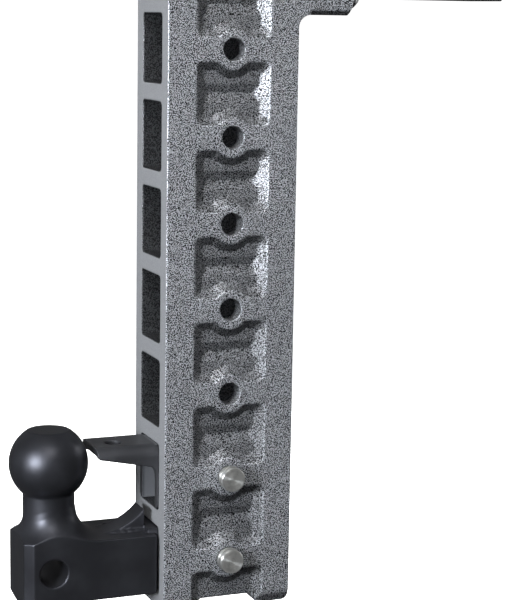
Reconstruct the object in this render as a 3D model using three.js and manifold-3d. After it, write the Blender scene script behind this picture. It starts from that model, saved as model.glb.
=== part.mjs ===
// An adjustable drop hitch: a cast column of stacked receivers on a solid square shank, with a
// dual-ball mount and a pintle lock held in its two lowest receivers by keyed locking pins.
// Millimetres. +X points to the towing vehicle, +Z up. The origin is on the shank's axis, at the
// centre of its hitch-pin hole.

import * as THREE from "three";
import { mergeVertices } from "three/addons/utils/BufferGeometryUtils.js";
import Module from "manifold-3d";

const wasm = await Module();
wasm.setup();

const INCH = 25.4;
const GAP = 0.3; // between pieces that touch
const FINE = 1e-3; // points closer than this are one point
const CUT = 5; // how far a cutter runs past the face that it cuts
const ROUND = 20; // sides of a full circle
const BALL_SIDES = 28;

// Receiver column
const LEVELS = 8;
const PITCH = 2.5 * INCH;
const COLUMN_DEPTH = 4 * INCH;
const COLUMN_WIDTH = 2.75 * INCH;
const COLUMN_FRONT = -4.5 * INCH;
const COLUMN_REAR = COLUMN_FRONT - COLUMN_DEPTH;
const COLUMN_TOP = 1.5 * INCH;
const COLUMN_BOTTOM = -PITCH * (LEVELS - 1) - 39;
const SIDE = COLUMN_WIDTH / 2;
const PIN_X = COLUMN_REAR + COLUMN_DEPTH / 2;
const PIN_HOLE_R = 8.35;
const WINDOW = { width: 42.3, height: 50, corner: 3 };
const BLIND_DEPTH = 95; // of the top receiver, and of what the others hold
const POCKET = { width: 58.2, height: 47.7, corner: 5, floor: 5.2, notch: 8.2, notchHalf: 7.5 };
const SLOPE = 7.3 / POCKET.floor; // run of the pockets' walls for each millimetre of depth
const BOSS_R = 13.75;
const FOOT = { webBottom: 31.6, webHalf: 19.6, mouthHalf: 26, rear: 3, front: 5 };
const FOOT_CHAMFER = { inward: 3.5, up: 9 };

// Snout, shank and the weld between them
const SNOUT = { end: -70.9, half: COLUMN_TOP, fillet: 9, lead: 3, leadHeight: 11, chamfer: 4 };
const SHANK = { side: 2 * INCH, corner: 1.6, end: 2.5 * INCH, lead: 5, socket: 30 };
const WELD_LEG = 8;

// Dual-ball mount
const MOUNT_LEVEL = 7;
const MOUNT_Z = -PITCH * MOUNT_LEVEL;
const BALL_X = COLUMN_REAR - 78.8;
const BLOCK = { rear: COLUMN_REAR - 103.3, front: COLUMN_REAR - 2.8, half: 27, corner: 6.3 };
const BLOCK_TOP = MOUNT_Z + 21;
const BLOCK_BOTTOM = MOUNT_Z - 24.5;
const TONGUE = { width: 41.3, height: 48.8, corner: 4 };
const UPPER_BALL = { r: 29.37, crownR: 15.5, neckR: 19.2, flare: 24, rise: 55.5 };
const LOWER_BALL = { r: 25.4, crownR: 12, neckR: 17.5, flare: 22, rise: 51 };
const GUSSET = { half: 11, start: 44, end: 7.5, height: 16.4 };
const CROSS_HOLE = { x: COLUMN_REAR - 81.9, z: MOUNT_Z - 1, r: 10.3 };

// Pintle lock
const LOCK_LEVEL = 6;
const PLATE = {
  outer: COLUMN_REAR - 47,
  width: 41.3,
  thickness: 6.35,
  bend: 9, // on the near side
  farBend: 3,
  foot: 2.5, // chamfer that clears the receiver's corners
  top: -PITCH * LOCK_LEVEL + 24.5,
  bottom: -PITCH * LOCK_LEVEL - 24.7,
  lug: 0.8, // of the cheeks, outside the column
  face: [0.6, 5], // lean and depth of the nose's face
  lip: [4.5, 8.4], // run and depth of the curve under it
  ramp: [7, 15.6], // where the cheeks' upper edge starts to bend down
  drop: 27, // depth at which they turn upright
  holeX: COLUMN_REAR - 29,
  holeR: 6.35,
};

// Locking pins. Each stands out of the near side by its own amount.
const PIN = { r: (5 / 16) * INCH, headR: 9.2, neckR: 7.2, disc: 3.2, neck: 2.2, flange: 2.8 };
const EASE = { head: 0.5, tail: 1.6, lock: 1.2, cap: 1.5 }; // turned chamfers
const PIN_TAIL = 28; // past the far side, when the head rests on the near one
const TAIL_GROOVE = { r: 6, width: 4, fromEnd: 6 };
const KEY_LOCK = { r: 15, length: 36, boreR: 8.15, bore: 24.2, mouthR: 11, mouth: 3 };
const CYLINDER = { r: 6, boreR: 6.2, depth: 9.8, stubR: 2.3, stub: 1.6, keyway: [1.6, 7, 3] };
const RETAINER = { r: 1, grooveR: 5, grooveWidth: 2.8, fromOuter: 5.2 };
const PAWL = { width: 7.4, length: 3, height: 4, lift: 8.3 };
const RING = { r: 1.2, centreR: 9.6 };
const CAP = { r: 16.6, boreR: 15.3, grip: 8, end: 2.6 };

const FINISHES = {
  hammertone: { color: 0x7c7d84, roughness: 0.45, metalness: 0.6 },
  satinBlack: { color: 0x1c1d20, roughness: 0.5, metalness: 0.4 },
  stainless: { color: 0xb8b8b4, roughness: 0.3, metalness: 1 },
  blackOxide: { color: 0x26262a, roughness: 0.4, metalness: 0.8 },
  brass: { color: 0xb09050, roughness: 0.35, metalness: 1 },
  rubber: { color: 0x151515, roughness: 0.9, metalness: 0 },
};

const levelZ = (level) => -PITCH * level;

// A solid's geometry, as indexed triangles.
function geometryOf(body) {
  const made = body.getMesh();
  const geometry = new THREE.BufferGeometry();
  geometry.setAttribute("position", new THREE.BufferAttribute(made.vertProperties, 3));
  geometry.setIndex(new THREE.BufferAttribute(made.triVerts, 1));
  return geometry;
}

// A closed geometry as a solid for cutting and joining.
function solid(geometry) {
  const bare = geometry.clone();
  bare.deleteAttribute("normal");
  bare.deleteAttribute("uv");
  const merged = mergeVertices(bare, FINE / 10);
  return new wasm.Manifold(
    new wasm.Mesh({
      numProp: 3,
      vertProperties: new Float32Array(merged.attributes.position.array),
      triVerts: new Uint32Array(merged.index.array),
    }),
  );
}

function piece(name, body, finish) {
  const geometry = geometryOf(body);
  geometry.computeVertexNormals();
  const mesh = new THREE.Mesh(geometry, new THREE.MeshStandardMaterial(FINISHES[finish]));
  mesh.name = name;
  return mesh;
}

function box(low, high) {
  const size = high.map((value, i) => value - low[i]);
  const middle = high.map((value, i) => (value + low[i]) / 2);
  return solid(new THREE.BoxGeometry(...size).translate(...middle));
}

// A cylinder or cone along Y at (x, z), from y0 with radius r0 to y1 with radius r1.
function rodY(x, z, y0, y1, r0, r1 = r0, sides = ROUND) {
  const geometry = new THREE.CylinderGeometry(r1, r0, y1 - y0, sides);
  return solid(geometry.translate(x, (y0 + y1) / 2, z));
}

// A cylinder along Z at (x, 0).
function rodZ(x, z0, z1, r, sides = ROUND) {
  const geometry = new THREE.CylinderGeometry(r, r, z1 - z0, sides).rotateX(Math.PI / 2);
  return solid(geometry.translate(x, 0, (z0 + z1) / 2));
}

function extrude(shape, depth, arcSegments) {
  const points = shape.getPoints(arcSegments);
  const apart = (point, i) => point.distanceTo(points[(i + 1) % points.length]) > FINE;
  const outline = new THREE.Shape(points.filter(apart));
  return new THREE.ExtrudeGeometry(outline, { depth, bevelEnabled: false });
}

// A shape drawn in X and Z, extruded from y0 to y1.
function prismY(shape, y0, y1, arcSegments = 6) {
  return solid(extrude(shape, y1 - y0, arcSegments).rotateX(Math.PI / 2).translate(0, y1, 0));
}

// A shape drawn in Y and Z, extruded from x0 to x1.
function prismX(shape, x0, x1, arcSegments = 2) {
  const turn = new THREE.Matrix4().makeBasis(
    new THREE.Vector3(0, 1, 0),
    new THREE.Vector3(0, 0, 1),
    new THREE.Vector3(1, 0, 0),
  );
  return solid(extrude(shape, x1 - x0, arcSegments).applyMatrix4(turn).translate(x0, 0, 0));
}

// A shape drawn in X and Y, extruded from z0 to z1.
function prismZ(shape, z0, z1) {
  return solid(extrude(shape, z1 - z0, 6).translate(0, 0, z0));
}

function polygon(points) {
  return new THREE.Shape(points.map(([x, y]) => new THREE.Vector2(x, y)));
}

function roundedRect(width, height, corner, x = 0, y = 0) {
  const shape = new THREE.Shape();
  const across = width / 2 - corner;
  const up = height / 2 - corner;
  const turns = [
    [across, -up, -Math.PI / 2],
    [across, up, 0],
    [-across, up, Math.PI / 2],
    [-across, -up, Math.PI],
  ];
  for (const [dx, dy, from] of turns) {
    shape.absarc(x + dx, y + dy, corner, from, from + Math.PI / 2);
  }
  return shape;
}

function arc(x, y, r, from, to, steps) {
  return Array.from({ length: steps + 1 }, (_, i) => {
    const angle = from + ((to - from) * i) / steps;
    return new THREE.Vector2(x + r * Math.cos(angle), y + r * Math.sin(angle));
  });
}

// A profile of radius and height, turned about Y.
function turned(points, sides = ROUND) {
  const profile = points.map((p) => (Array.isArray(p) ? new THREE.Vector2(...p) : p));
  return new THREE.LatheGeometry(profile, sides);
}

// ---- receiver column ----

function columnProfile() {
  const { end, half, fillet, lead, leadHeight } = SNOUT;
  const web = levelZ(LEVELS - 1) - FOOT.webBottom;
  const shape = new THREE.Shape();
  shape.moveTo(COLUMN_REAR, COLUMN_TOP);
  shape.lineTo(COLUMN_REAR, COLUMN_BOTTOM + FOOT.rear);
  shape.absarc(
    COLUMN_REAR + FOOT.rear, COLUMN_BOTTOM + FOOT.rear, FOOT.rear, Math.PI, 1.5 * Math.PI);
  shape.lineTo(PIN_X - FOOT.mouthHalf, COLUMN_BOTTOM);
  shape.lineTo(PIN_X - FOOT.webHalf, web);
  shape.lineTo(PIN_X + FOOT.webHalf, web);
  shape.lineTo(PIN_X + FOOT.mouthHalf, COLUMN_BOTTOM);
  shape.absarc(
    COLUMN_FRONT - FOOT.front, COLUMN_BOTTOM + FOOT.front, FOOT.front, -Math.PI / 2, 0);
  shape.absarc(COLUMN_FRONT + fillet, -half - fillet, fillet, Math.PI, Math.PI / 2, true);
  shape.lineTo(end - lead, -half);
  shape.lineTo(end, leadHeight - half);
  shape.lineTo(end, half - leadHeight);
  shape.lineTo(end - lead, half);
  return shape;
}

// The cutter for a side pocket, with its middle at x = 0, z = 0 and the column's side at y = 0.
// Its walls slope, and it leaves the floor and the round bosses of the pin holes standing.
function pocketCutter(notched, bossHeights) {
  const { width, height, corner, floor, notch, notchHalf } = POCKET;
  const geometry = extrude(roundedRect(width, height, corner), notch, 2);
  const inset = notch * SLOPE;
  const position = geometry.attributes.position;
  for (let i = 0; i < position.count; i++) {
    if (position.getZ(i) < notch / 2) {
      position.setX(i, position.getX(i) * (1 - (2 * inset) / width));
      position.setY(i, position.getY(i) * (1 - (2 * inset) / height));
    }
  }
  const mouth = extrude(roundedRect(width, height, corner), 1, 2).translate(0, 0, notch);
  let cutter = solid(geometry.rotateX(Math.PI / 2).translate(0, notch, 0));
  cutter = cutter.add(solid(mouth.rotateX(Math.PI / 2).translate(0, notch, 0)));
  for (const z of bossHeights) {
    const coneR = BOSS_R + SLOPE * (notch + 1);
    cutter = cutter.subtract(rodY(0, z, -CUT, FINE, BOSS_R));
    cutter = cutter.subtract(rodY(0, z, 0, notch + 1, BOSS_R, coneR));
  }
  const deep = notched ? [[floor, -notchHalf], [notch, 0], [floor, notchHalf]] : [];
  const below = [[floor, -height], ...deep, [floor, height], [2 * notch, height]];
  return cutter.subtract(prismX(polygon([...below, [2 * notch, -height]]), -width, width));
}

// The wedge that chamfers the lower edge of one side, from x0 to x1.
function edgeWedge(side, z, inward, up, x0, x1) {
  const outline = [
    [side * (SIDE - inward), z - CUT],
    [side * (SIDE - inward), z],
    [side * SIDE, z + up],
    [side * (SIDE + CUT), z + up],
    [side * (SIDE + CUT), z - CUT],
  ];
  return prismX(polygon(outline), x0, x1);
}

// A cutter set on one side of the column, at the pins' X.
function placed(body, side, z) {
  const turn = side < 0 ? 0 : Math.PI;
  return solid(geometryOf(body).rotateZ(turn).translate(PIN_X, side * SIDE, z));
}

function receiverColumn() {
  let body = prismY(columnProfile(), -SIDE, SIDE);
  for (let level = 0; level < LEVELS; level++) {
    const opening = roundedRect(WINDOW.width, WINDOW.height, WINDOW.corner, 0, levelZ(level));
    const end = level === 0 ? COLUMN_REAR + BLIND_DEPTH : COLUMN_FRONT + CUT;
    body = body.subtract(prismX(opening, COLUMN_REAR - CUT, end));
    body = body.subtract(rodY(PIN_X, levelZ(level), -SIDE - CUT, SIDE + CUT, PIN_HOLE_R));
  }
  const between = pocketCutter(true, [PITCH / 2, -PITCH / 2]);
  const lowest = pocketCutter(false, [PITCH / 2]);
  const highest = pocketCutter(false, [-PITCH / 2]);
  for (const side of [-1, 1]) {
    body = body.subtract(placed(highest, side, PITCH / 2));
    body = body.subtract(placed(lowest, side, levelZ(LEVELS - 0.5)));
    for (let level = 0; level < LEVELS - 1; level++) {
      body = body.subtract(placed(between, side, levelZ(level + 0.5)));
    }
    const { inward, up } = FOOT_CHAMFER;
    const past = COLUMN_FRONT + CUT;
    body = body.subtract(edgeWedge(side, COLUMN_BOTTOM, inward, up, COLUMN_REAR - CUT, past));
    const { chamfer, fillet, half, end } = SNOUT;
    const from = COLUMN_FRONT + fillet;
    body = body.subtract(edgeWedge(side, -half, chamfer, chamfer, from, end + CUT));
  }
  const socket = SHANK.side / 2 + GAP;
  const low = [SNOUT.end - SHANK.socket, -socket, -socket];
  return body.subtract(box(low, [SNOUT.end + CUT, socket, socket]));
}

// ---- shank ----

// A square pyramid's lower part along X, with sides at 45 degrees: it ends at x1, half wide there.
function squareFrustum(x0, half, x1) {
  const length = x1 - x0;
  const wide = (half + length) * Math.SQRT2;
  const geometry = new THREE.CylinderGeometry(half * Math.SQRT2, wide, length, 4);
  return geometry.rotateY(Math.PI / 4).rotateZ(-Math.PI / 2).translate(x0 + length / 2, 0, 0);
}

function shank() {
  const { side, corner, end, lead, socket } = SHANK;
  const start = SNOUT.end - socket + GAP;
  let body = prismX(roundedRect(side, side, corner), start, end);
  const half = side / 2;
  body = body.intersect(solid(squareFrustum(end - 2 * (end - start), half - lead, end)));
  return body.subtract(rodY(0, 0, -half - CUT, half + CUT, PIN_HOLE_R));
}

function shankWeld() {
  const half = SHANK.side / 2 + GAP;
  const start = SNOUT.end + GAP;
  const end = start + WELD_LEG;
  const frustum = solid(squareFrustum(start, half + 1, end));
  return frustum.subtract(box([start - CUT, -half, -half], [end + CUT, half, half]));
}

// ---- dual-ball mount ----

function blockOutline() {
  const { rear, front, half, corner } = BLOCK;
  return polygon([
    [front, half],
    [rear + corner, half],
    [rear, half - corner],
    [rear, corner - half],
    [rear + corner, -half],
    [front, -half],
  ]);
}

// A ball on its neck, standing up from z = 0, and the flare at the neck's foot.
function ballAndNeck({ r, crownR, neckR, rise }) {
  const from = -Math.acos(neckR / r);
  const to = Math.acos(crownR / r);
  const round = arc(0, rise, r, from, to, 10);
  const profile = [[0, -CUT], [neckR, -CUT], ...round, [0, rise + r * Math.sin(to)]];
  return turned(profile, BALL_SIDES);
}

function neckFlare({ neckR, flare }) {
  const curve = arc(neckR + flare, flare, flare, 1.5 * Math.PI, Math.PI, 5);
  return turned([[0, -CUT], [neckR + flare, -CUT], ...curve, [0, flare]], BALL_SIDES);
}

// The concave ramp that stiffens the block against the column.
function gusset() {
  const { half, start, end, height } = GUSSET;
  const run = start - end;
  const r = (run * run + height * height) / (2 * height);
  const sweep = Math.asin(run / r);
  const shape = new THREE.Shape();
  shape.moveTo(COLUMN_REAR - end, BLOCK_TOP - CUT);
  shape.lineTo(COLUMN_REAR - start, BLOCK_TOP - CUT);
  shape.absarc(COLUMN_REAR - start, BLOCK_TOP + r, r, -Math.PI / 2, sweep - Math.PI / 2);
  return prismY(shape, -half, half, 10);
}

function dualBallMount() {
  const blockShape = blockOutline();
  const reach = UPPER_BALL.rise; // past the top of either neck's flare
  let body = prismZ(blockShape, BLOCK_BOTTOM, BLOCK_TOP);
  const upright = (geometry) => geometry.rotateX(Math.PI / 2).translate(BALL_X, 0, BLOCK_TOP);
  const hung = (geometry) => geometry.rotateX(-Math.PI / 2).translate(BALL_X, 0, BLOCK_BOTTOM);
  const within = prismZ(blockShape, BLOCK_BOTTOM - reach, BLOCK_TOP + reach);
  for (const [ball, stand] of [[UPPER_BALL, upright], [LOWER_BALL, hung]]) {
    body = body.add(solid(stand(neckFlare(ball))).intersect(within));
    body = body.add(solid(stand(ballAndNeck(ball))));
  }
  body = body.add(gusset());
  const tongueZ = MOUNT_Z - WINDOW.height / 2 + GAP + TONGUE.height / 2;
  const tongueShape = roundedRect(TONGUE.width, TONGUE.height, TONGUE.corner, 0, tongueZ);
  body = body.add(prismX(tongueShape, BLOCK.front - CUT, COLUMN_REAR + BLIND_DEPTH));
  body = body.subtract(rodY(PIN_X, MOUNT_Z, -SIDE, SIDE, PIN_HOLE_R));
  const past = BLOCK.half + CUT;
  return body.subtract(rodY(CROSS_HOLE.x, CROSS_HOLE.z, -past, past, CROSS_HOLE.r));
}

// ---- pintle lock ----

// A folded channel seen from its side: a nose that carries the drilled plate, and full-depth
// cheeks inside the receiver.
function pintleSide() {
  const { outer, top, bottom, lug, face, lip, ramp, drop } = PLATE;
  const cheek = COLUMN_REAR - lug;
  const end = COLUMN_REAR + BLIND_DEPTH;
  const lipZ = top - lip[1];
  const rampZ = top - ramp[1];
  const shape = new THREE.Shape();
  shape.moveTo(outer, top + CUT);
  shape.lineTo(outer, top);
  shape.lineTo(outer + face[0], top - face[1]);
  shape.quadraticCurveTo(outer + face[0], lipZ, outer + lip[0], lipZ);
  shape.lineTo(cheek - ramp[0], rampZ);
  shape.quadraticCurveTo(cheek, rampZ, cheek, top - drop);
  shape.lineTo(cheek, bottom - CUT);
  shape.lineTo(end, bottom - CUT);
  shape.lineTo(end, top + CUT);
  return shape;
}

function pintleLock() {
  const { width, thickness, bend, farBend, foot, top, bottom, holeX, holeR } = PLATE;
  const half = width / 2;
  const inner = half - thickness;
  const channel = new THREE.Shape();
  channel.moveTo(foot - half, bottom);
  channel.lineTo(-half, bottom + foot);
  channel.lineTo(-half, top - bend);
  channel.absarc(bend - half, top - bend, bend, Math.PI, Math.PI / 2, true);
  channel.absarc(half - farBend, top - farBend, farBend, Math.PI / 2, 0, true);
  channel.lineTo(half, bottom + foot);
  channel.lineTo(half - foot, bottom);
  channel.lineTo(inner, bottom);
  channel.lineTo(inner, top - thickness);
  channel.absarc(bend - half, top - bend, bend - thickness, Math.PI / 2, Math.PI);
  channel.lineTo(-inner, bottom);
  const end = COLUMN_REAR + BLIND_DEPTH + CUT;
  let body = prismX(channel, PLATE.outer - CUT, end, 5);
  body = body.intersect(prismY(pintleSide(), -width, width));
  body = body.subtract(rodZ(holeX, top - thickness - CUT, top + CUT, holeR));
  return body.subtract(rodY(PIN_X, levelZ(LOCK_LEVEL), -SIDE, SIDE, PIN_HOLE_R));
}

// ---- locking pins ----

// Places along Y of one pin and of the lock on its tail, for how far the head stands out.
function stations(standsOut) {
  const headEnd = -SIDE - standsOut;
  const shoulder = headEnd + PIN.disc + PIN.neck + PIN.flange;
  const tail = shoulder + GAP + COLUMN_WIDTH + PIN_TAIL;
  const lockOuter = tail + GAP * 2 + KEY_LOCK.length - KEY_LOCK.bore;
  return { headEnd, shoulder, tail, lockInner: lockOuter - KEY_LOCK.length, lockOuter };
}

function pin(z, { headEnd, shoulder, tail }) {
  const { r, headR, neckR, disc, neck } = PIN;
  const grooveEnd = tail - TAIL_GROOVE.fromEnd;
  const profile = [
    [0, headEnd],
    [headR - EASE.head, headEnd],
    [headR, headEnd + EASE.head],
    [headR, headEnd + disc],
    [neckR, headEnd + disc],
    [neckR, headEnd + disc + neck],
    [headR, headEnd + disc + neck],
    [headR, shoulder],
    [r, shoulder],
    [r, grooveEnd - TAIL_GROOVE.width],
    [TAIL_GROOVE.r, grooveEnd - TAIL_GROOVE.width],
    [TAIL_GROOVE.r, grooveEnd],
    [r, grooveEnd],
    [r, tail - EASE.tail],
    [r - EASE.tail, tail],
    [0, tail],
  ];
  return solid(turned(profile).translate(PIN_X, 0, z));
}

function lockBody(z, { lockInner, lockOuter, tail }) {
  const { r, boreR, bore, mouthR, mouth } = KEY_LOCK;
  let body = solid(
    turned([
      [0, lockInner],
      [r - EASE.lock, lockInner],
      [r, lockInner + EASE.lock],
      [r, lockOuter - EASE.lock],
      [r - EASE.lock, lockOuter],
      [0, lockOuter],
    ]).translate(PIN_X, 0, z),
  );
  body = body.subtract(rodY(PIN_X, z, lockInner - CUT, lockInner + mouth, mouthR));
  body = body.subtract(rodY(PIN_X, z, lockInner - CUT, lockInner + bore, boreR));
  const face = lockOuter - CYLINDER.depth;
  body = body.subtract(rodY(PIN_X, z, face, lockOuter + CUT, CYLINDER.boreR));
  body = body.subtract(rodY(PIN_X, z, lockInner + bore - CUT, face + CUT, CYLINDER.stubR + GAP));
  const pinHole = new THREE.CylinderGeometry(RETAINER.r + GAP, RETAINER.r + GAP, 2 * r, 10);
  pinHole.rotateX(Math.PI / 2).translate(PIN_X, lockOuter - RETAINER.fromOuter, z + r);
  body = body.subtract(solid(pinHole));
  const groove = tail - TAIL_GROOVE.fromEnd - TAIL_GROOVE.width / 2;
  const across = PAWL.width / 2 + GAP;
  const along = PAWL.length / 2 + GAP;
  const low = [PIN_X - across, groove - along, z];
  const high = [PIN_X + across, groove + along, z + PAWL.lift + PAWL.height + GAP];
  return body.subtract(box(low, high));
}

function keyCylinder(z, { lockOuter }) {
  const { r, depth, stubR, stub, keyway } = CYLINDER;
  const start = lockOuter - depth + GAP;
  const end = lockOuter - GAP;
  const [across, up, deep] = keyway;
  const { grooveR, grooveWidth, fromOuter } = RETAINER;
  const grooveStart = lockOuter - fromOuter - grooveWidth / 2;
  let body = rodY(PIN_X, z, start, grooveStart, r);
  body = body.add(rodY(PIN_X, z, start, end, grooveR));
  body = body.add(rodY(PIN_X, z, grooveStart + grooveWidth, end, r));
  body = body.add(rodY(PIN_X, z, start - stub, start + 1, stubR));
  const low = [PIN_X - across / 2, end - deep, z - up / 2];
  return body.subtract(box(low, [PIN_X + across / 2, end + CUT, z + up / 2]));
}

// The cross pin that keeps the key cylinder in, with its point in the cylinder's groove.
function retainingPin(z, { lockOuter }) {
  const low = RETAINER.grooveR + GAP;
  const high = KEY_LOCK.r - 2 * GAP;
  const geometry = new THREE.CylinderGeometry(RETAINER.r, RETAINER.r, high - low, 10);
  geometry.rotateX(Math.PI / 2);
  return solid(geometry.translate(PIN_X, lockOuter - RETAINER.fromOuter, z + (low + high) / 2));
}

function pawl(z, { tail }) {
  const groove = tail - TAIL_GROOVE.fromEnd - TAIL_GROOVE.width / 2;
  const low = [PIN_X - PAWL.width / 2, groove - PAWL.length / 2, z + PAWL.lift];
  const high = [PIN_X + PAWL.width / 2, groove + PAWL.length / 2, z + PAWL.lift + PAWL.height];
  return box(low, high);
}

function sealRing(z, { lockInner }) {
  const geometry = new THREE.TorusGeometry(RING.centreR, RING.r, 6, ROUND);
  const middle = lockInner + KEY_LOCK.mouth / 2;
  return solid(geometry.rotateX(Math.PI / 2).translate(PIN_X, middle, z));
}

function dustCap(z, { lockOuter }) {
  const { r, boreR, grip, end } = CAP;
  const mouth = lockOuter - grip;
  const outside = lockOuter + GAP + end;
  const profile = [
    [boreR, mouth],
    [r, mouth],
    [r, outside - EASE.cap],
    [r - EASE.cap, outside],
    [0, outside],
    [0, lockOuter + GAP],
    [boreR, lockOuter + GAP],
    [boreR, mouth],
  ];
  return solid(turned(profile).translate(PIN_X, 0, z));
}

// ---- assembly ----

const hitch = new THREE.Group();
hitch.add(piece("receiver_column", receiverColumn(), "hammertone"));
hitch.add(piece("shank", shank(), "hammertone"));
hitch.add(piece("shank_weld", shankWeld(), "hammertone"));
hitch.add(piece("dual_ball_mount", dualBallMount(), "satinBlack"));
hitch.add(piece("pintle_lock", pintleLock(), "satinBlack"));

const pinSets = [
  { prefix: "upper", level: LOCK_LEVEL, standsOut: 11 },
  { prefix: "lower", level: MOUNT_LEVEL, standsOut: 10.5 },
];
for (const { prefix, level, standsOut } of pinSets) {
  const z = levelZ(level);
  const along = stations(standsOut);
  hitch.add(piece(`${prefix}_pin`, pin(z, along), "stainless"));
  hitch.add(piece(`${prefix}_lock_body`, lockBody(z, along), "blackOxide"));
  hitch.add(piece(`${prefix}_lock_seal`, sealRing(z, along), "rubber"));
  hitch.add(piece(`${prefix}_lock_pawl`, pawl(z, along), "stainless"));
  hitch.add(piece(`${prefix}_key_cylinder`, keyCylinder(z, along), "brass"));
  hitch.add(piece(`${prefix}_retaining_pin`, retainingPin(z, along), "stainless"));
  hitch.add(piece(`${prefix}_dust_cap`, dustCap(z, along), "rubber"));
}

export default hitch;
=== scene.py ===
"""Looks of an adjustable drop hitch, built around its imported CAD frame.

Blender works in metres, Z up, in the frame of the CAD part. Lengths in the shape code are in
millimetres, and MM turns them into metres. The hitch's rear, where the balls are, is towards -X.
"""

import math

import bmesh
import bpy
from mathutils import Matrix, Vector


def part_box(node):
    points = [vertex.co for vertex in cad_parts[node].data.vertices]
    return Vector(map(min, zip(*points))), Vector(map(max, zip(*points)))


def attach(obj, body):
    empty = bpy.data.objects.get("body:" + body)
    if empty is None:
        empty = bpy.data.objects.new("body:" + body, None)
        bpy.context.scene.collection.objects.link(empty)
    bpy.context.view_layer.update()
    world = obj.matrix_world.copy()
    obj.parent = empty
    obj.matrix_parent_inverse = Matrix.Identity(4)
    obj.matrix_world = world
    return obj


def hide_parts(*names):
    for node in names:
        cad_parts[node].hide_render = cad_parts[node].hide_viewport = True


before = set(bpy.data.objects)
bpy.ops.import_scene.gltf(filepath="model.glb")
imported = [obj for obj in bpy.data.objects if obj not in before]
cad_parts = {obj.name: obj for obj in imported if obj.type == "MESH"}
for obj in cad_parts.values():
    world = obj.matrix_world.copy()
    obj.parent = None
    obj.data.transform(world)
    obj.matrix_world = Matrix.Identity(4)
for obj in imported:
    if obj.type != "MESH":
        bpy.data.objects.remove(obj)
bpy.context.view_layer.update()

MM = 0.001
INCH = 25.4

PITCH = 2.5 * INCH
COLUMN_REAR = -8.5 * INCH
COLUMN_HALF = 1.375 * INCH
WINDOW_HALF = 21.2
SHANK_WELD = {"half": 25.7, "start": -70.6, "leg": 8.0, "corner": 4.0}

MOUNT_Z = -7 * PITCH
BALL_X = COLUMN_REAR - 78.8
BLOCK_TOP = MOUNT_Z + 21
BLOCK_BOTTOM = MOUNT_Z - 24.5
BLOCK = {"rear": COLUMN_REAR - 103.3, "front": COLUMN_REAR - 2.8, "half": 27, "corner": 6.3}
UPPER_BALL = {"r": 29.37, "crown": 15.5, "neck": 19.2, "flare": 24, "rear_flare": 16, "rise": 55.5}
LOWER_BALL = {"r": 25.4, "crown": 12, "neck": 17.5, "flare": 22, "rear_flare": 16, "rise": 51}
GUSSET = {"half": 11, "start": 44, "end": 7.5, "height": 16.4, "root": 4}
CROSS_HOLE = {"x": COLUMN_REAR - 81.9, "z": MOUNT_Z - 1, "r": 10.3, "flare": 0.9}
TONGUE = {"width": 41.3, "height": 48.8, "corner": 4.0, "z": MOUNT_Z - 0.3}
TONGUE_START = BLOCK["front"] - 5
TONGUE_END = COLUMN_REAR + 95
TONGUE_HOLE = {"r": 8.35, "flare": 0.6}
PLATE_CHANNEL_HALF = 14.3

PIN_X = -6.5 * INCH
PIN = {"r": 0.3125 * INCH, "head": 9.2, "neck": 7.2, "groove": 6.0, "end": 6.34}
CAP = {"r": 16.6, "waist": 16.1, "inner": 15.3, "wall": 2.6}

FLOOR_Z = -0.78
STAGE_RADIUS_MM = 20000
WORLD_STRENGTH = 0.08
CENTRE = (-0.2, 0.0, -0.25)
CAMERA = {"yaw": 22.2, "pitch": 9.34, "roll": 0.96, "lens": 105.18, "sensor": 36.0}
CAMERA_PLACE = (-0.6295, -1.2244, -0.0363)


# ---- materials ----


class Graph:
    """A material's nodes, with short ways to add and join them."""

    def __init__(self, name):
        self.material = bpy.data.materials.new(name)
        self.material.use_nodes = True
        self.tree = self.material.node_tree
        self.shader = self.tree.nodes["Principled BSDF"]
        self.coordinates = self.add("ShaderNodeTexCoord")

    def feed(self, socket, value):
        """Links the socket to another one, or sets it to a plain number or colour."""
        if isinstance(value, bpy.types.NodeSocket):
            self.tree.links.new(value, socket)
        else:
            socket.default_value = value

    def add(self, kind, inputs=None, **settings):
        node = self.tree.nodes.new(kind)
        for key, value in settings.items():
            setattr(node, key, value)
        for key, value in (inputs or {}).items():
            self.feed(node.inputs[key], value)
        return node

    def axes(self, vector):
        """The X, Y and Z of a vector."""
        return self.add("ShaderNodeSeparateXYZ", {0: vector}).outputs

    def maths(self, operation, a, b=0.0):
        return self.add("ShaderNodeMath", {0: a, 1: b}, operation=operation).outputs[0]

    def ramp(self, value, low, high, to_low=0.0, to_high=1.0):
        """A smooth change from to_low to to_high as value goes from low to high."""
        inputs = {
            "Value": value,
            "From Min": low,
            "From Max": high,
            "To Min": to_low,
            "To Max": to_high,
        }
        node = self.add("ShaderNodeMapRange", inputs, interpolation_type="SMOOTHSTEP")
        return node.outputs["Result"]

    def noise(self, scale_per_mm, detail, roughness=0.5, vector=None):
        inputs = {
            "Vector": vector or self.coordinates.outputs["Object"],
            "Scale": scale_per_mm / MM,
            "Detail": detail,
            "Roughness": roughness,
        }
        return self.add("ShaderNodeTexNoise", inputs).outputs["Fac"]

    def mix(self, factor, a, b):
        """Colour a where factor is 0, and b where it is 1."""
        return self.add("ShaderNodeMix", {0: factor, 6: a, 7: b}, data_type="RGBA").outputs[2]

    def bump(self, height, distance_mm, strength):
        inputs = {"Height": height, "Distance": distance_mm * MM, "Strength": strength}
        return self.add("ShaderNodeBump", inputs).outputs["Normal"]

    def finish(self, **inputs):
        for key, value in inputs.items():
            self.feed(self.shader.inputs[key.replace("_", " ")], value)
        return self.material


def grey(value, blue=0.0):
    return (value, value * (1 + blue / 3), value * (1 + blue), 1.0)


def scaled(colour, factor):
    return tuple(factor * c for c in colour[:3]) + (1.0,)


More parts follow.
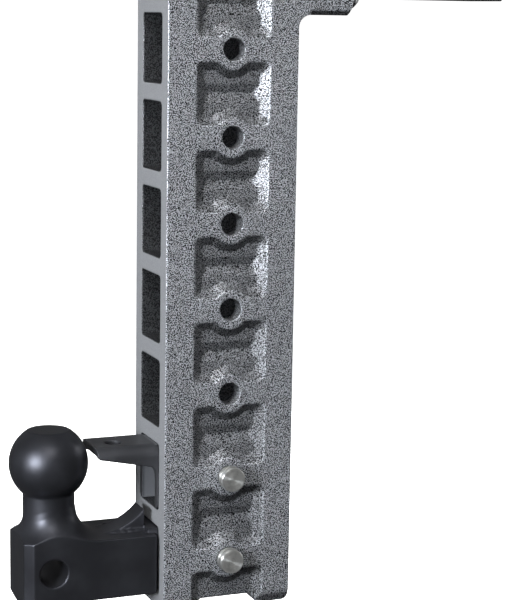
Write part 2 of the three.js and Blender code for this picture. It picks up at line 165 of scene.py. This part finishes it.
def hammertone():
    """Silver paint that has drawn back into dark pits.

    It is calmer on the faces to the rear. Painted shade makes it greyer in the side pockets and
    darker on their down-facing walls, and paints it dark inside the receivers."""
    coarse_per_mm, fine_per_mm, pit_edge = 1.35, 2.9, (0.482, 0.53)
    g = Graph("hammertone")
    coarse = g.maths("MULTIPLY", g.noise(coarse_per_mm, detail=0.0), 0.75)
    fine = g.maths("MULTIPLY", g.noise(fine_per_mm, detail=0.0), 0.25)
    speckle = g.ramp(g.maths("ADD", coarse, fine), *pit_edge)
    facing = g.axes(g.coordinates.outputs["Normal"])
    place = g.axes(g.coordinates.outputs["Object"])
    off_middle = g.maths("ABSOLUTE", place["Y"])

    flat = g.mix(g.noise(0.02, detail=2.0), grey(0.54, 0.1), grey(0.67, 0.1))
    # Painted shade: the side pockets are coloured greyer than the outer face, and darker still on
    # their down-facing walls.
    pocket_underside_shade = g.ramp(facing["Z"], -0.55, -0.2, 1.0, 0.0)
    painted_pocket_shade = g.mix(pocket_underside_shade, grey(0.36, 0.08), grey(0.13, 0.08))
    pocket_shade_mask = g.ramp(off_middle, (COLUMN_HALF - 1.3) * MM, (COLUMN_HALF - 0.5) * MM, 1.0, 0.0)
    pitted = g.mix(speckle, grey(0.006, 0.1), g.mix(pocket_shade_mask, flat, painted_pocket_shade))

    faces_rear = g.ramp(facing["X"], -0.97, -0.8, 1.0, 0.0)
    at_rear = g.ramp(place["X"], (COLUMN_REAR + 0.6) * MM, (COLUMN_REAR + 1.4) * MM, 1.0, 0.0)
    rear = g.maths("MULTIPLY", faces_rear, at_rear)
    calm = g.mix(speckle, grey(0.3, 0.05), grey(0.34, 0.05))
    outer = g.mix(rear, pitted, calm)

    # Painted shade: the insides of the receivers are coloured dark, and the colour named thin
    # below is this painted shade.
    inside = g.ramp(off_middle, WINDOW_HALF * MM, (WINDOW_HALF + 1.0) * MM, 1.0, 0.0)
    inside_shade_mask = g.maths("MULTIPLY", inside, g.maths("SUBTRACT", 1.0, rear))
    thin = g.mix(speckle, grey(0.012, 0.08), grey(0.07, 0.08))
    colour = g.mix(inside_shade_mask, outer, thin)

    height = g.maths("MULTIPLY", speckle, g.ramp(rear, 0.0, 1.0, 1.0, 0.12))
    shine = g.ramp(speckle, 0.0, 1.0, 0.5, 0.34)
    rough = g.maths("MAXIMUM", shine, g.maths("MULTIPLY", rear, 0.62))
    normal = g.bump(height, 0.2, 0.8)
    return g.finish(Base_Color=colour, Roughness=rough, Normal=normal, Metallic=0.5)


def satin_black(name, base, roughness, grain_mm, bump_mm, metallic, channel_half=None):
    """A thin black coat on steel, with faint grain and dull patches.

    channel_half is half the width of a channel whose inside is greyer within the column."""
    g = Graph(name)
    grain = g.noise(1 / grain_mm, detail=3.0, roughness=0.6)
    patches = g.noise(0.035, detail=3.0)
    colour = g.mix(g.ramp(patches, 0.35, 0.75), base, scaled(base, 1.35))
    if channel_half:
        place = g.axes(g.coordinates.outputs["Object"])
        off_middle = g.maths("ABSOLUTE", place["Y"])
        low, high = (channel_half + 0.3) * MM, (channel_half + 1.0) * MM
        within = g.ramp(off_middle, low, high, 1.0, 0.0)
        in_column = g.ramp(place["X"], (COLUMN_REAR - 2) * MM, (COLUMN_REAR + 2) * MM)
        colour = g.mix(g.maths("MULTIPLY", within, in_column), colour, grey(0.3, 0.1))
    rough = g.ramp(patches, 0.3, 0.7, roughness - 0.04, roughness + 0.06)
    return g.finish(
        Base_Color=colour,
        Roughness=rough,
        Normal=g.bump(grain, bump_mm, 0.6),
        Metallic=metallic,
        Specular_IOR_Level=0.3,
    )


def turned_metal(name, base, roughness, centre=(0.0, 0.0), anisotropy=0.75, metallic=1.0):
    """Metal with the tool's rings round the Y axis through centre, (x, z) in millimetres."""
    ring_mm = 0.25
    g = Graph(name)
    middle = (centre[0] * MM, 0.0, centre[1] * MM)
    offset = {0: g.coordinates.outputs["Object"], 1: middle}
    from_axis = g.add("ShaderNodeVectorMath", offset, operation="SUBTRACT").outputs[0]
    place = g.axes(from_axis)
    x = g.maths("MULTIPLY", place["X"], place["X"])
    z = g.maths("MULTIPLY", place["Z"], place["Z"])
    radius = g.maths("SQRT", g.maths("ADD", x, z))
    across_rings = g.add("ShaderNodeCombineXYZ", {0: radius, 1: place["Y"]}).outputs[0]
    rings = g.noise(1 / ring_mm, detail=2.0, vector=across_rings)
    smears = g.noise(0.3, detail=2.0)
    tone = g.maths("ADD", g.maths("MULTIPLY", rings, 0.5), g.maths("MULTIPLY", smears, 0.5))
    return g.finish(
        Base_Color=g.mix(g.ramp(tone, 0.35, 0.6), scaled(base, 0.72), base),
        Roughness=g.ramp(rings, 0.3, 0.7, roughness - 0.05, roughness + 0.08),
        Normal=g.bump(rings, 0.02, 0.5),
        Metallic=metallic,
        Anisotropic=anisotropy,
        Anisotropic_Rotation=0.25,
        Tangent=g.add("ShaderNodeTangent", direction_type="RADIAL", axis="Y").outputs[0],
    )


def rubber():
    g = Graph("rubber")
    grain = g.noise(2.0, detail=2.0)
    dust = g.ramp(g.noise(0.08, detail=3.0), 0.4, 0.8)
    colour = g.mix(dust, grey(0.012), grey(0.03))
    return g.finish(Base_Color=colour, Roughness=0.75, Normal=g.bump(grain, 0.05, 0.6))


# ---- mesh tools ----


def in_scene(name, data):
    made = bpy.data.objects.new(name, data)
    bpy.context.scene.collection.objects.link(made)
    return made


def mesh_object(name, build):
    """An object whose mesh build fills in through bmesh, in millimetres."""
    bm = bmesh.new()
    build(bm)
    bmesh.ops.remove_doubles(bm, verts=bm.verts, dist=1e-4)
    bmesh.ops.recalc_face_normals(bm, faces=bm.faces)
    bmesh.ops.scale(bm, vec=(MM, MM, MM), verts=bm.verts)
    mesh = bpy.data.meshes.new(name)
    bm.to_mesh(mesh)
    bm.free()
    return in_scene(name, mesh)


def copy_of(node, name):
    """A new object with a copy of a CAD node's mesh."""
    return in_scene(name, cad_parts[node].data.copy())


def settle(piece):
    """Applies the piece's modifiers."""
    bpy.context.view_layer.update()
    graph = bpy.context.evaluated_depsgraph_get()
    mesh = bpy.data.meshes.new_from_object(piece.evaluated_get(graph))
    piece.modifiers.clear()
    piece.data = mesh


def rounded(piece, voxel_mm, smoothing, keep):
    """Joins the piece's shells into one skin, rounds its edges and thins out its flat parts."""
    remesh = piece.modifiers.new("skin", "REMESH")
    remesh.mode = "VOXEL"
    remesh.voxel_size = voxel_mm * MM
    smooth = piece.modifiers.new("ease", "SMOOTH")
    smooth.factor = 0.5
    smooth.iterations = smoothing
    thin = piece.modifiers.new("thin", "DECIMATE")
    thin.ratio = keep
    settle(piece)


def subtract(piece, cutter):
    cut = piece.modifiers.new("cut", "BOOLEAN")
    cut.operation = "DIFFERENCE"
    cut.solver = "EXACT"
    cut.object = cutter
    settle(piece)
    bpy.data.objects.remove(cutter)


def join(pieces):
    """One object with the shells of several."""
    bm = bmesh.new()
    for piece in pieces:
        bm.from_mesh(piece.data)
    bm.to_mesh(pieces[0].data)
    bm.free()
    for piece in pieces[1:]:
        bpy.data.objects.remove(piece)
    return pieces[0]


def paint_with(piece, material):
    piece.data.materials.clear()
    piece.data.materials.append(material)
    piece.data.shade_smooth()


def stand_for(piece, node, material, body):
    """Puts the piece in its CAD node's place, on the node's body."""
    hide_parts(node)
    paint_with(piece, material)
    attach(piece, body)


def skin(bm, rings, capped=True):
    """Faces between rings of points, each closed on itself; capped adds the flat ends."""
    rows = [[bm.verts.new(p) for p in ring] for ring in rings]
    count = len(rows[0])
    for a, b in zip(rows, rows[1:]):
        for i in range(count):
            j = (i + 1) % count
            bm.faces.new((a[i], a[j], b[j], b[i]))
    if capped:
        bm.faces.new(rows[0][::-1])
        bm.faces.new(rows[-1])


def turned(bm, profile, place, sides):
    """A profile of (radius, height) turned round; place puts a point (a, b, height)."""
    angles = [2 * math.pi * i / sides for i in range(sides)]
    circle = [(math.cos(angle), math.sin(angle)) for angle in angles]
    skin(bm, [[place(r * c, r * s, h) for c, s in circle] for r, h in profile])


def prism(bm, outline, place, low, high):
    """An outline of (a, b) pairs, extruded from low to high; place puts a point (a, b, c)."""
    skin(bm, [[place(a, b, c) for a, b in outline] for c in (low, high)])


def arc(x, y, r, start, end, steps):
    """Points from one angle to another, round (x, y)."""
    angles = [start + (end - start) * i / steps for i in range(steps + 1)]
    return [(x + r * math.cos(a), y + r * math.sin(a)) for a in angles]


def rounded_rect(width, height, corner, y):
    """A rectangle with round corners, its middle at (0, y)."""
    steps = 6
    across, up = width / 2 - corner, height / 2 - corner
    corners = [(across, -up, -0.5), (across, up, 0), (-across, up, 0.5), (-across, -up, 1)]
    points = []
    for dx, dy, half_turns in corners:
        start = half_turns * math.pi
        points += arc(dx, y + dy, corner, start, start + math.pi / 2, steps)
    return points


def eased(profile, radius):
    """A profile with its inner corners rounded, by less than half of each side."""
    steps, share, least = 3, 2.1, 0.02
    made = [profile[0]]
    for before, corner, after in zip(profile, profile[1:], profile[2:]):
        c = Vector(corner)
        to_before, to_after = Vector(before) - c, Vector(after) - c
        reach = min(radius, to_before.length / share, to_after.length / share)
        if reach < least:
            made.append(corner)
            continue
        a, b = c + to_before.normalized() * reach, c + to_after.normalized() * reach
        for i in range(steps + 1):
            t = i / steps
            made.append(tuple(a * (1 - t) ** 2 + c * (2 * t * (1 - t)) + b * t**2))
    return made + [profile[-1]]


# ---- column, shank and weld ----


def receiver_column(paint):
    piece = copy_of("receiver_column", "receiver_column_casting")
    rounded(piece, voxel_mm=0.75, smoothing=1, keep=0.3)
    stand_for(piece, "receiver_column", paint, "column")


def round_the_shank(t):
    """A point (y, z) of the weld's square path at t from 0 to 4, and its outward direction."""
    half, corner = SHANK_WELD["half"], SHANK_WELD["corner"]
    flat = 2 * half
    side, along = int(t) % 4, (t % 1) * (flat + math.pi / 2 * corner)
    y, z = half, min(along - half, half)
    angle = max(0.0, along - flat) / corner
    turn = side * math.pi / 2
    c, s = math.cos(turn), math.sin(turn)
    outward = (math.cos(angle + turn), math.sin(angle + turn))
    return (y * c - z * s, y * s + z * c), outward


def weld_bead(bm):
    """A bead of overlapping ripples round the shank, over the fillet of the CAD weld."""
    half, start, leg = (SHANK_WELD[k] for k in ("half", "start", "leg"))
    side_length = 2 * half + math.pi / 2 * SHANK_WELD["corner"]
    steps, ripple_pitch, ripple_depth = 132, 3.4, 0.07
    section = [(0.0, 0.0), (0.0, 1.0), (0.28, 0.86), (0.55, 0.62), (0.8, 0.36), (1.0, 0.06)]
    section.append((1.0, 0.0))
    rings = []
    for i in range(4 * steps):
        t = i // steps + (i % steps) / steps
        (y, z), (out_y, out_z) = round_the_shank(t)
        wave = abs(math.sin(math.pi * t * side_length / ripple_pitch))
        ripple = 1.0 - ripple_depth * (1 - wave)
        ring = []
        for along, out in section:
            swell = ripple if out > 0 and along < 1 else 1.0
            reach = out * leg * swell
            ring.append((start + along * leg, y + out_y * reach, z + out_z * reach))
        rings.append(ring)
    skin(bm, rings + [rings[0]], capped=False)


def shank_weld(paint):
    piece = mesh_object("weld_bead", weld_bead)
    stand_for(piece, "shank_weld", paint, "column")


# ---- dual-ball mount ----


def distance_to_edge(angle):
    """How far the block's outline is from the ball's axis in a direction."""
    c, s = math.cos(angle), math.sin(angle)
    rear, front = BALL_X - BLOCK["rear"], BLOCK["front"] - BALL_X
    half, corner = BLOCK["half"], BLOCK["corner"]
    limits = [(1, 0, front), (-1, 0, rear), (0, 1, half), (0, -1, half)]
    limits += [(-1, 1, rear + half - corner), (-1, -1, rear + half - corner)]
    return min(d / (nx * c + ny * s) for nx, ny, d in limits if nx * c + ny * s > 1e-6)


def ball_profile(ball, edge, rearward):
    """(radius, height) from the ball's crown down to the block's edge, above the block's face.

    rearward is 1 straight to the rear, where the flare is tighter, and 0 to the sides."""
    ball_steps, flare_steps, neck_heights = 48, 16, (30.0, 27.0)
    r, neck, rise = ball["r"], ball["neck"], ball["rise"]
    flare = ball["flare"] + (ball["rear_flare"] - ball["flare"]) * rearward
    top, bottom = math.acos(ball["crown"] / r), -math.acos(neck / r)
    points = [(0.0, rise + r * math.sin(top))]
    points += arc(0, rise, r, top, bottom, ball_steps)
    points += [(neck, z) for z in neck_heights]
    reach = min(edge, neck + flare)
    for i in range(flare_steps + 1):
        out = (reach - neck) * i / flare_steps
        points.append((neck + out, flare - math.sqrt(max(flare**2 - (flare - out) ** 2, 0))))
    points.append((edge, points[-1][1] if edge <= neck + flare else 0.0))
    return points


def ball_block(bm):
    """Both balls and the block between them, as profiles all round the balls' axis."""
    count = 180
    corners = []
    for x, y in ((BLOCK["front"], 1), (BLOCK["rear"] + BLOCK["corner"], 1), (BLOCK["rear"], 0)):
        wide = BLOCK["half"] if y else BLOCK["half"] - BLOCK["corner"]
        corners += [math.atan2(sign * wide, x - BALL_X) for sign in (1, -1)]
    angles = sorted(corners + [2 * math.pi * i / count - math.pi for i in range(count)])
    columns = []
    for angle in angles:
        edge = distance_to_edge(angle)
        rearward = max(0.0, -math.cos(angle)) ** 2
        levels = [(r, BLOCK_TOP + z) for r, z in ball_profile(UPPER_BALL, edge, rearward)]
        lower = ball_profile(LOWER_BALL, edge, rearward)
        levels += [(r, BLOCK_BOTTOM - z) for r, z in lower[::-1]]
        c, s = math.cos(angle), math.sin(angle)
        columns.append([(BALL_X + r * c, r * s, z) for r, z in levels])
    rows = [[column[i] for column in columns] for i in range(len(columns[0]))]
    skin(bm, rows, capped=False)


def gusset(bm):
    """The ramp that sweeps up from the block's top to the column."""
    half, start, end, height = (GUSSET[k] for k in ("half", "start", "end", "height"))
    run = start - end
    r = (run**2 + height**2) / (2 * height)
    sweep = math.asin(run / r)
    root = BLOCK_TOP - GUSSET["root"]
    upright = math.pi / 2
    outline = arc(COLUMN_REAR - start, BLOCK_TOP + r, r, -upright, sweep - upright, steps=24)
    outline += [(COLUMN_REAR - end, root), (COLUMN_REAR - start, root)]
    prism(bm, outline, lambda a, b, c: (a, c, b), -half, half)


def weld_spatter(bm):
    """A rough, low line of weld where the gusset meets the block, on both sides."""
    lumps, first, spacing = 22, 8.5, 1.15
    squash = Matrix.Diagonal((1.3, 1.2, 0.8, 1.0))
    for side in (-1, 1):
        for i in range(lumps):
            x = COLUMN_REAR - first - spacing * i
            size = 1.7 + 0.5 * math.sin(2.3 * i) + 0.3 * math.sin(5.1 * i + side)
            y = side * (GUSSET["half"] + 0.2 + 0.5 * math.sin(3.7 * i))
            matrix = Matrix.Translation((x, y, BLOCK_TOP + 0.2)) @ Matrix.Scale(size, 4) @ squash
            bmesh.ops.create_icosphere(bm, subdivisions=2, radius=1.0, matrix=matrix)


def drill(piece, x, z, r, half, flare):
    """Cuts a hole along Y right through the piece, opening out by flare at both faces."""
    past, sides = 3, 64
    profile = [(r + flare + past, -half - past), (r + flare, -half), (r, flare - half)]
    profile += [(r, half - flare), (r + flare, half), (r + flare + past, half + past)]

    def build(bm):
        turned(bm, profile, lambda a, b, h: (x + a, h, z + b), sides)

    subtract(piece, mesh_object("cutter", build))


def tongue(bm):
    section = rounded_rect(TONGUE["width"], TONGUE["height"], TONGUE["corner"], TONGUE["z"])
    prism(bm, section, lambda a, b, c: (c, a, b), TONGUE_START, TONGUE_END)


def dual_ball_mount(coat):
    block = mesh_object("dual_ball_forging", ball_block)
    hole = CROSS_HOLE
    drill(block, hole["x"], hole["z"], hole["r"], BLOCK["half"], hole["flare"])
    ramp = mesh_object("ramp", gusset)
    lumps = mesh_object("lumps", weld_spatter)
    stem = mesh_object("tongue", tongue)
    drill(stem, PIN_X, MOUNT_Z, TONGUE_HOLE["r"], TONGUE["width"] / 2, TONGUE_HOLE["flare"])
    piece = join([block, ramp, lumps, stem])
    rounded(piece, voxel_mm=0.65, smoothing=5, keep=0.5)
    stand_for(piece, "dual_ball_mount", coat, "column")


def pintle_lock(coat):
    piece = copy_of("pintle_lock", "pintle_lock_plate")
    rounded(piece, voxel_mm=0.6, smoothing=3, keep=0.4)
    stand_for(piece, "pintle_lock", coat, "column")


# ---- pins and locks ----


def turned_piece(name, profile, level, node, material, body):
    """A turned piece whose object sits on its own axis, so that its rings run round that axis."""
    sides = 96
    piece = mesh_object(name, lambda bm: turned(bm, profile, lambda a, b, h: (a, h, b), sides))
    piece.location = (PIN_X * MM, 0, -PITCH * level * MM)
    stand_for(piece, node, material, body)


def along_y(node):
    """Where a CAD node starts and ends along Y."""
    return (corner.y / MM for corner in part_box(node))


def locking_pin(prefix, level, steel):
    """A pin with a grooved head, and near its tail a groove for the pawl."""
    head, tail = along_y(f"{prefix}_pin")
    r, head_r, neck, groove = (PIN[k] for k in ("r", "head", "neck", "groove"))
    profile = [(0.0, head + 0.15), (7.0, head), (head_r - 0.5, head), (head_r, head + 0.5)]
    profile += [(head_r, head + 3.2), (neck, head + 3.2), (neck, head + 5.4)]
    profile += [(head_r, head + 5.4), (head_r, head + 8.2), (r, head + 8.2)]
    profile += [(r, tail - 10), (groove, tail - 10), (groove, tail - 6), (r, tail - 6)]
    profile += [(r, tail - 1.6), (PIN["end"], tail), (0.0, tail)]
    name = f"{prefix}_pin"
    shape = eased(profile, 0.35)
    turned_piece(f"{prefix}_locking_pin", shape, level, name, steel, name)


def rubber_cap(prefix, level, soft):
    """A cup over the lock's end, with a shallow waist behind its rim."""
    near, far = along_y(f"{prefix}_dust_cap")
    r, waist, inner, wall = (CAP[k] for k in ("r", "waist", "inner", "wall"))
    profile = [(inner, near), (r, near), (r, near + 2), (waist, near + 2.6), (r, near + 3.2)]
    profile += [(r, far - 1.5), (r - 1.5, far), (0.0, far - 0.3), (0.0, far - wall)]
    profile += [(inner, far - wall), (inner, near)]
    name, node, body = f"{prefix}_rubber_cap", f"{prefix}_dust_cap", f"{prefix}_cap"
    turned_piece(name, eased(profile, 0.5), level, node, soft, body)


def carry(node, material, bevel_mm):
    """A CAD node that stays, with its own material and eased edges."""
    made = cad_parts[node]
    if bevel_mm:
        bevel = made.modifiers.new("ease", "BEVEL")
        bevel.width = bevel_mm * MM
        bevel.segments = 2
        bevel.limit_method = "ANGLE"
        bevel.angle_limit = math.radians(35)
    paint_with(made, material)
    smooth = made.modifiers.new("corners", "EDGE_SPLIT")
    smooth.split_angle = math.radians(32)


def locking_set(prefix, level, steel, soft):
    """A locking pin with its lock and cap, at one of the column's levels."""
    axis = (PIN_X, -PITCH * level)
    black, yellow = (0.05, 0.05, 0.055, 1.0), (0.62, 0.46, 0.2, 1.0)
    oxide = turned_metal(f"{prefix}_black_oxide", black, 0.38, axis, anisotropy=0.4)
    brass = turned_metal(f"{prefix}_machined_brass", yellow, 0.3, axis)
    locking_pin(prefix, level, steel)
    rubber_cap(prefix, level, soft)
    carry(f"{prefix}_lock_body", oxide, 0.5)
    carry(f"{prefix}_lock_pawl", steel, 0.3)
    carry(f"{prefix}_retaining_pin", steel, 0.2)
    carry(f"{prefix}_lock_seal", soft, 0.0)
    carry(f"{prefix}_key_cylinder", brass, 0.2)


# ---- studio ----


def glowing(name, tone, glow):
    """A matt stage surface that shows the same from everywhere."""
    g = Graph(name)
    colour = g.mix(g.noise(0.002, detail=2.0), grey(tone), grey(tone + 0.02))
    return g.finish(
        Base_Color=colour, Roughness=0.9, Emission_Color=grey(1.0), Emission_Strength=glow)


def stage_piece(name, build, material):
    """Part of the stage, which throws no light back on the object."""
    made = mesh_object(name, build)
    made.data.materials.append(material)
    made.visible_diffuse = False
    made.visible_glossy = False
    made.visible_shadow = False
    return made


def disc(bm):
    bmesh.ops.create_circle(bm, cap_ends=True, segments=64, radius=STAGE_RADIUS_MM)


def shell(bm):
    bmesh.ops.create_icosphere(bm, subdivisions=4, radius=STAGE_RADIUS_MM)


def studio():
    """A pale floor and backdrop, with a little even light."""
    world = bpy.data.worlds.new("studio")
    world.use_nodes = True
    background = world.node_tree.nodes["Background"]
    background.inputs["Color"].default_value = grey(1.0)
    background.inputs["Strength"].default_value = WORLD_STRENGTH
    scene = bpy.context.scene
    scene.world = world
    scene.view_settings.view_transform = "Standard"
    pale = glowing("pale_floor", tone=0.86, glow=1.0)
    floor = stage_piece("floor", disc, pale)
    floor.location.z = FLOOR_Z
    stage_piece("backdrop", shell, pale)


def softbox(name, place, size, watts, aim=CENTRE, colour=(1.0, 1.0, 1.0), glossy=True):
    data = bpy.data.lights.new(name, "AREA")
    data.shape = "RECTANGLE"
    data.size, data.size_y = size
    data.energy = watts
    data.color = colour
    lamp = in_scene(name, data)
    lamp.location = place
    direction = Vector(aim) - Vector(place)
    lamp.rotation_euler = direction.to_track_quat("-Z", "Y").to_euler()
    lamp.visible_glossy = glossy
    lamp.visible_camera = False


def lights():
    """A close key that draws the balls' highlights, and soft light from above and around."""
    key_place, key_aim, cool = (-1.195, -0.648, -0.128), (-0.29, 0.0, -0.37), (0.9, 0.94, 1.0)
    softbox("key", key_place, (0.36, 0.3), 21, aim=key_aim, colour=cool)
    softbox("top", (-0.72, -0.68, 1.1), (0.8, 0.8), 31, glossy=False)
    softbox("fill", (-0.55, -1.4, 1.0), (1.0, 0.8), 9)
    softbox("back", (0.1, 1.7, 0.3), (1.4, 1.0), 45, glossy=False)
    softbox("vehicle_side", (1.6, 0.4, -0.1), (1.0, 1.0), 16)


def camera():
    """The photograph's view, from calibrated angles."""
    yaw, pitch, roll = (math.radians(CAMERA[k]) for k in ("yaw", "pitch", "roll"))
    level, down = math.cos(pitch), -math.sin(pitch)
    forward = Vector((math.sin(yaw) * level, math.cos(yaw) * level, down))
    right = forward.cross(Vector((0, 0, 1))).normalized()
    up = right.cross(forward)
    tilted = right * math.cos(roll) + up * math.sin(roll)
    data = bpy.data.cameras.new("camera")
    data.lens = CAMERA["lens"]
    data.sensor_width = CAMERA["sensor"]
    made = in_scene("camera", data)
    axes = Matrix((tilted, tilted.cross(forward), -forward)).transposed().to_4x4()
    made.matrix_world = Matrix.Translation(CAMERA_PLACE) @ axes
    bpy.context.scene.camera = made


# ---- the hitch ----

paint = hammertone()
forging = satin_black(
    "forging_black", (0.047, 0.048, 0.055, 1.0), 0.37, grain_mm=0.5, bump_mm=0.05, metallic=0.8)
plate = satin_black(
    "plate_black", (0.04, 0.041, 0.045, 1.0), 0.42, grain_mm=0.4, bump_mm=0.03, metallic=0.5,
    channel_half=PLATE_CHANNEL_HALF)
steel = turned_metal(
    "turned_stainless", (0.74, 0.74, 0.71, 1.0), 0.34, anisotropy=0.85, metallic=0.88)
soft = rubber()

receiver_column(paint)
carry("shank", paint, 0.8)
shank_weld(paint)
dual_ball_mount(forging)
pintle_lock(plate)
locking_set("upper", 6, steel, soft)
locking_set("lower", 7, steel, soft)

studio()
camera()
lights()
